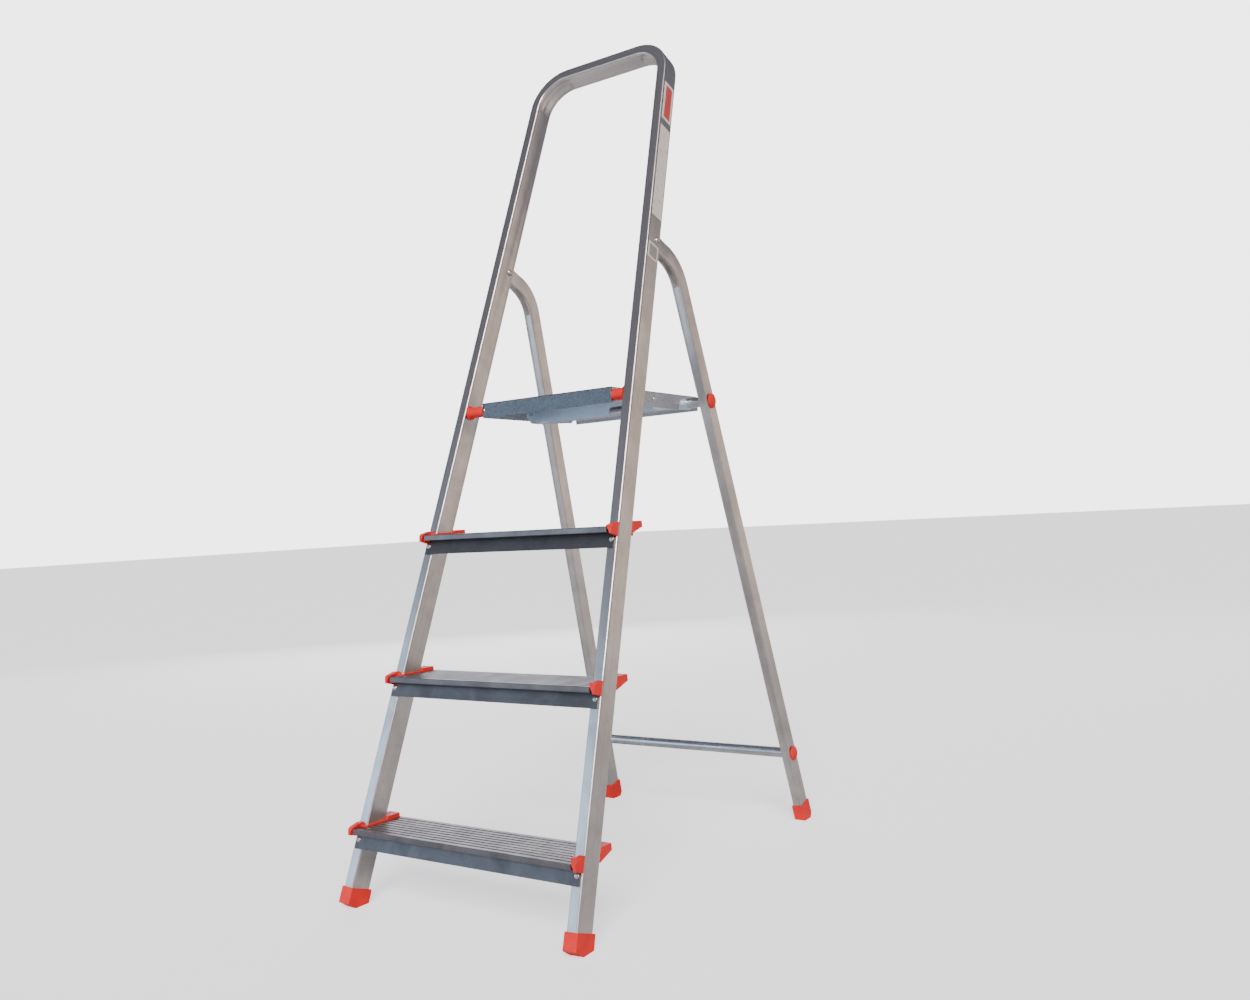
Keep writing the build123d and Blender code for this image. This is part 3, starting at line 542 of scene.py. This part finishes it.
# ---------------------------------------------------------------------------------- the rear legs
# Two aluminium tubes, 30 x 19 mm, bent forward by 50 degrees. The inner side of the bend is
# pressed in deeply, and the end is squeezed flat to fit inside the stile.
BACK = math.radians(15.04)
LEG_BEND = 0.080
LEG_TURN = math.radians(50)
LEG_OFFSET = 0.060
LEG_REACH = 0.02
LEG_WALL = 0.0122
LEG_BEND_CUTS = 20
LEG_LEAD_CUT = 0.0025
LEG_SIDE_CUT = 0.0021
leg_bend_run = LEG_BEND * LEG_TURN
rear_way = Vector((0, math.cos(BACK), math.sin(BACK)))
for side, hand in ((-1, "left"), (1, "right")):
    leg_up = Vector((-side * TAPER, -math.sin(BACK), math.cos(BACK))).normalized()
    across_way = rear_way.cross(leg_up)
    leg_pivot = Vector((side * stile_middle(pivot_along), pivot.y, pivot.z))
    bend_drop = LEG_OFFSET / math.tan(LEG_TURN) + LEG_BEND * math.tan(LEG_TURN / 2)
    bend_centre = leg_pivot + rear_way * (LEG_OFFSET - LEG_BEND) - leg_up * bend_drop

    def leg_place(co):
        """Length along the tube from the bend's lower end, distance inward, and side."""
        rel = co - bend_centre
        back, up, aside = rel.dot(rear_way), rel.dot(leg_up), rel.dot(across_way)
        angle = math.atan2(up, back)
        if up <= 0:
            return up, LEG_BEND - back, aside
        if angle > LEG_TURN:
            out = back * math.cos(LEG_TURN) + up * math.sin(LEG_TURN)
            run = -back * math.sin(LEG_TURN) + up * math.cos(LEG_TURN)
            return leg_bend_run + run, LEG_BEND - out, aside
        return LEG_BEND * angle, LEG_BEND - math.hypot(back, up), aside

    def cut_leg_wall(co, no):
        """Cuts the inner wall of the leg's bend along a plane."""
        wall = inner_wall(bm, leg_place, LEG_WALL, LEG_REACH, leg_bend_run)
        cut_faces(bm, wall, co, no)

    def outward(angle):
        """Direction from the bend's centre at this angle of the bend."""
        return rear_way * math.cos(angle) + leg_up * math.sin(angle)

    bm = node_copy(f"rear_leg_{hand}")
    for step in range(LEG_BEND_CUTS + 1):
        angle = LEG_TURN * step / LEG_BEND_CUTS
        cut_leg_wall(bend_centre, outward(angle).cross(across_way))
    for step in range(1, 6):
        cut_leg_wall(bend_centre - leg_up * (LEG_LEAD_CUT * step), leg_up)
    for step in range(-3, 4):
        cut_leg_wall(leg_pivot + across_way * (LEG_SIDE_CUT * step), across_way)
    grain = bm.verts.layers.float_vector.new("grain")
    for vert in bm.verts:
        run, inner, aside = leg_place(vert.co)
        vert[grain] = (run + side, inner, aside)
        if inner > LEG_WALL:
            push = press_in(
                aside, half_width=0.0095, corner=0.0012, along=run,
                run=leg_bend_run, deep=0.0105, lead=0.010, ramp=0.008,
            )
            vert.co += outward(min(max(run / LEG_BEND, 0.0), LEG_TURN)) * push
    finish_piece(
        bm, f"leg_{hand}", tube_metal, "rear_frame", f"rear_leg_{hand}"
    )


# -------------------------------------------------------------------- round tubes and their sleeves
# The lower cross tube and the rest rod are drawn round tubes that run through both legs. Short
# tube sleeves on the rest rod stand beside the platform.
rod_metal = bare_metal(
    "drawn_rod", (0.66, 0.67, 0.69), 0.24, streak=(4.0, 500.0, 500.0), smudge=30.0
)
for node, name in (
    ("rear_cross_tube", "lower_cross_tube"),
    ("platform_rest_rod", "rest_rod"),
    ("rest_rod_spacers", "rod_sleeves"),
):
    finish_piece(node_copy(node), name, rod_metal, "rear_frame", node)


# -------------------------------------------------------------------------------------- the rivets
# Steel rivets with a low domed head and a hollow in its middle, where the mandrel broke off, hold
# the steps. The leg pivots are larger, and plain pins join the platform and the link.
steel, steel_surface = new_material("rivet_steel")
place = shader(steel, "ShaderNodeTexCoord").outputs["Object"]
stain = shader(steel, "ShaderNodeTexNoise", [("Vector", place)], Scale=420.0, Detail=4.0)
tone = shader(
    steel, "ShaderNodeMapRange", [("Value", stain.outputs["Fac"])],
    From_Min=0.3, From_Max=0.7, To_Min=0.24, To_Max=0.42,
)
wire(steel, tone.outputs[0], steel_surface, "Roughness")
rust = shader(steel, "ShaderNodeValToRGB", [(0, stain.outputs["Fac"])])
rust.color_ramp.elements[0].position = 0.35
rust.color_ramp.elements[0].color = (0.70, 0.69, 0.67, 1)
rust.color_ramp.elements[1].position = 0.75
rust.color_ramp.elements[1].color = (0.46, 0.42, 0.38, 1)
wire(steel, rust.outputs["Color"], steel_surface, "Base Color")
steel_surface.inputs["Metallic"].default_value = 1.0


def add_head(bm, middle, out, radius, high, hole):
    """Turns one rivet head about its axis: a rim, a dome and a hollow in the middle."""
    tilt = Vector((0, 0, 1)).rotation_difference(out).to_matrix()
    profile = [
        (radius, 0.0),
        (radius, high * 0.22),
        (radius * 0.86, high * 0.62),
        (radius * 0.62, high * 0.92),
        (hole * 1.25, high),
        (hole, high * 0.86),
        (hole * 0.9, high * 0.1),
        (0.0, high * 0.05),
    ]
    verts = [bm.verts.new(middle + tilt @ Vector((r, 0, z))) for r, z in profile]
    edges = [bm.edges.new(pair) for pair in zip(verts, verts[1:])]
    bmesh.ops.spin(
        bm, geom=verts + edges, cent=middle, axis=out, steps=28,
        angle=math.tau, use_merge=True, use_duplicate=False,
    )


RIVET_BELOW_TREAD = 0.022
FLANGE_WALL = 0.0022
bm = bmesh.new()
for number in (1, 2, 3):
    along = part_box(f"step_{number}")[1].z / math.cos(LEAN) - RIVET_BELOW_TREAD
    for side in (-1, 1):
        spot = foot_point + up_face * along - back_face * FLANGE_WALL
        spot.x = side * stile_middle(along)
        add_head(bm, spot, -back_face, radius=0.0046, high=0.0017, hole=0.0015)
bmesh.ops.remove_doubles(bm, verts=bm.verts, dist=1e-6)
bmesh.ops.recalc_face_normals(bm, faces=bm.faces)
finish_piece(bm, "step_rivet_heads", steel, "front_frame", "step_rivets")


def dimple(bm, ring, deep):
    """Sinks a hollow into the middle of every round end face."""
    ends = [face for face in bm.faces if len(face.verts) > 12 and abs(face.normal.x) > 0.99]
    bmesh.ops.inset_individual(bm, faces=ends, thickness=ring, depth=0.0)
    bmesh.ops.inset_individual(bm, faces=ends, thickness=0.0003, depth=-deep)


bm = node_copy("leg_pivot_pins")
dimple(bm, ring=0.0017, deep=0.0012)
finish_piece(bm, "leg_pivots", steel, "front_frame", "leg_pivot_pins")
for node, body in (
    ("leg_pivot_sleeves", "rear_frame"),
    ("platform_pivot_pins", "front_frame"),
    ("platform_pivot_studs", "platform"),
    ("link_pins", "platform"),
):
    finish_piece(node_copy(node), "steel_" + node, steel, body, node)


# ------------------------------------------------------------------------------------ the platform
# A tray folded from galvanised sheet steel with pressed ribs. The zinc is dull and mottled with
# spangles, and the front band is coloured darker, slate grey.
def zinc(name, dark, light, rough, spangle, band_y=0.0, band_darkening=1.0):
    """Galvanised sheet, spangled and mottled, and darker in front of band_y where the darkening
    factor is below 1.
    """
    material, surface = new_material(name)
    place = shader(material, "ShaderNodeTexCoord").outputs["Object"]
    crystals = shader(
        material, "ShaderNodeTexVoronoi", [("Vector", place)], Scale=spangle, Randomness=1.0
    )
    grains = shader(material, "ShaderNodeSeparateColor", [(0, crystals.outputs["Color"])])
    cloud = shader(
        material, "ShaderNodeTexNoise", [("Vector", place)],
        Scale=28.0, Detail=6.0, Roughness=0.62, Distortion=0.4,
    )
    grit = shader(
        material, "ShaderNodeTexNoise", [("Vector", place)], Scale=520.0, Detail=3.0
    )
    uneven = shader(
        material, "ShaderNodeMath",
        [(0, grains.outputs["Red"]), (1, cloud.outputs["Fac"])], operation="ADD",
    )
    mottle = shader(
        material, "ShaderNodeMapRange", [("Value", uneven.outputs[0])],
        From_Min=0.35, From_Max=1.35,
    )
    colour = shader(material, "ShaderNodeMix", [(0, mottle.outputs[0])], data_type="RGBA")
    colour.inputs[6].default_value = (*dark, 1)
    colour.inputs[7].default_value = (*light, 1)
    parts = shader(material, "ShaderNodeSeparateXYZ", [(0, place)])
    # The strip in front of band_y is coloured darker by the given factor.
    darkened = shader(
        material, "ShaderNodeMapRange", [("Value", parts.outputs["Y"])],
        From_Min=band_y + 0.002, From_Max=band_y + 0.004, To_Min=band_darkening, To_Max=1.0,
    )
    shade = shader(
        material, "ShaderNodeVectorMath",
        [(0, colour.outputs[2]), (1, darkened.outputs[0])], operation="MULTIPLY",
    )
    wire(material, shade.outputs[0], surface, "Base Color")
    roughness = shader(
        material, "ShaderNodeMapRange", [("Value", grains.outputs["Green"])],
        To_Min=rough, To_Max=rough + 0.14,
    )
    wire(material, roughness.outputs[0], surface, "Roughness")
    bump = shader(
        material, "ShaderNodeBump", [("Height", grit.outputs["Fac"])],
        Strength=0.12, Distance=0.0003,
    )
    wire(material, bump.outputs[0], surface, "Normal")
    surface.inputs["Metallic"].default_value = 0.75
    return material


tray_zinc = zinc(
    "dull_zinc", (0.33, 0.36, 0.41), (0.50, 0.53, 0.58), rough=0.36, spangle=420.0,
    band_y=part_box("platform_tray")[0].y, band_darkening=0.30,
)
tray = finish_piece(
    node_copy("platform_tray"), "tray", tray_zinc, "platform", "platform_tray"
)
soften(tray, 0.0003, segments=1)


# -------------------------------------------------------------------------------- the folding link
# One galvanised sheet folded into two arms and a cross bar with a hand slot. Its zinc is bluish and
# finely spangled, and coloured far lighter than the tray's: painted light for the brighter light it
# reflects.
link_zinc_with_painted_light = zinc(
    "zinc_with_painted_light", (0.62, 0.76, 0.94), (0.78, 0.89, 1.0), rough=0.38, spangle=650.0
)
folding_link = finish_piece(
    node_copy("platform_link"), "folding_link", link_zinc_with_painted_light, "link",
    "platform_link",
)
soften(folding_link, 0.0004, segments=1)


# -------------------------------------------------------------------------------------- the labels
# Three film labels stuck on the outer side of the right stile, with specks of dirt. They are plain:
# a red field in a pale frame, a pale field, and a small dark field in a pale frame.
LABEL_WIDTH = 0.031
FIELD_HALF_WIDTH = 0.0152
FADE = 0.0004


def film(node, ground, field, frame_edge, speck):
    """A film label: a field inside a plain frame, with dirt specks."""
    material, surface = new_material("film_" + node)
    low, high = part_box(node)
    middle = (low + high) / 2
    place = shader(material, "ShaderNodeTexCoord").outputs["Object"]
    centred = shader(
        material, "ShaderNodeVectorMath", [(0, place)], operation="SUBTRACT"
    )
    centred.inputs[1].default_value = middle
    turned = shader(
        material, "ShaderNodeVectorRotate", [("Vector", centred.outputs[0])],
        rotation_type="X_AXIS", Angle=LEAN,
    )
    parts = shader(material, "ShaderNodeSeparateXYZ", [(0, turned.outputs[0])])
    length = (high.z - low.z - LABEL_WIDTH * math.sin(LEAN)) / math.cos(LEAN)
    inside = []
    for axis, half in (("Y", FIELD_HALF_WIDTH), ("Z", length / 2)):
        away = shader(
            material, "ShaderNodeMath", [(0, parts.outputs[axis])], operation="ABSOLUTE"
        )
        near = shader(
            material, "ShaderNodeMapRange", [("Value", away.outputs[0])],
            From_Min=half - frame_edge - FADE, From_Max=half - frame_edge,
            To_Min=1.0, To_Max=0.0,
        )
        inside.append(near.outputs[0])
    on_field = shader(
        material, "ShaderNodeMath", [(0, inside[0]), (1, inside[1])], operation="MULTIPLY"
    )
    print_mix = shader(
        material, "ShaderNodeMix", [(0, on_field.outputs[0])], data_type="RGBA"
    )
    print_mix.inputs[6].default_value = (*ground, 1)
    print_mix.inputs[7].default_value = (*field, 1)
    dirt = shader(
        material, "ShaderNodeTexNoise", [("Vector", place)],
        Scale=speck, Detail=5.0, Roughness=0.75, Distortion=0.8,
    )
    worn = shader(
        material, "ShaderNodeMapRange", [("Value", dirt.outputs["Fac"])],
        From_Min=0.56, From_Max=0.68, To_Min=0.0, To_Max=0.75,
    )
    darkened = shader(
        material, "ShaderNodeMix",
        [(0, worn.outputs[0]), (6, print_mix.outputs[2])], data_type="RGBA",
    )
    darkened.inputs[7].default_value = (0.42, 0.38, 0.35, 1)
    wire(material, darkened.outputs[2], surface, "Base Color")
    gloss = shader(
        material, "ShaderNodeMapRange", [("Value", dirt.outputs["Fac"])],
        From_Min=0.4, From_Max=0.7, To_Min=0.32, To_Max=0.6,
    )
    wire(material, gloss.outputs[0], surface, "Roughness")
    finish_piece(node_copy(node), "film_" + node, material, "front_frame", node)


film("label_emblem", (0.98, 0.90, 0.80), (0.72, 0.075, 0.07), 0.0048, 120.0)
film("label_notice", (0.98, 0.88, 0.76), (0.93, 0.84, 0.74), 0.0016, 90.0)
film("label_type", (0.96, 0.86, 0.76), (0.34, 0.31, 0.30), 0.0030, 160.0)
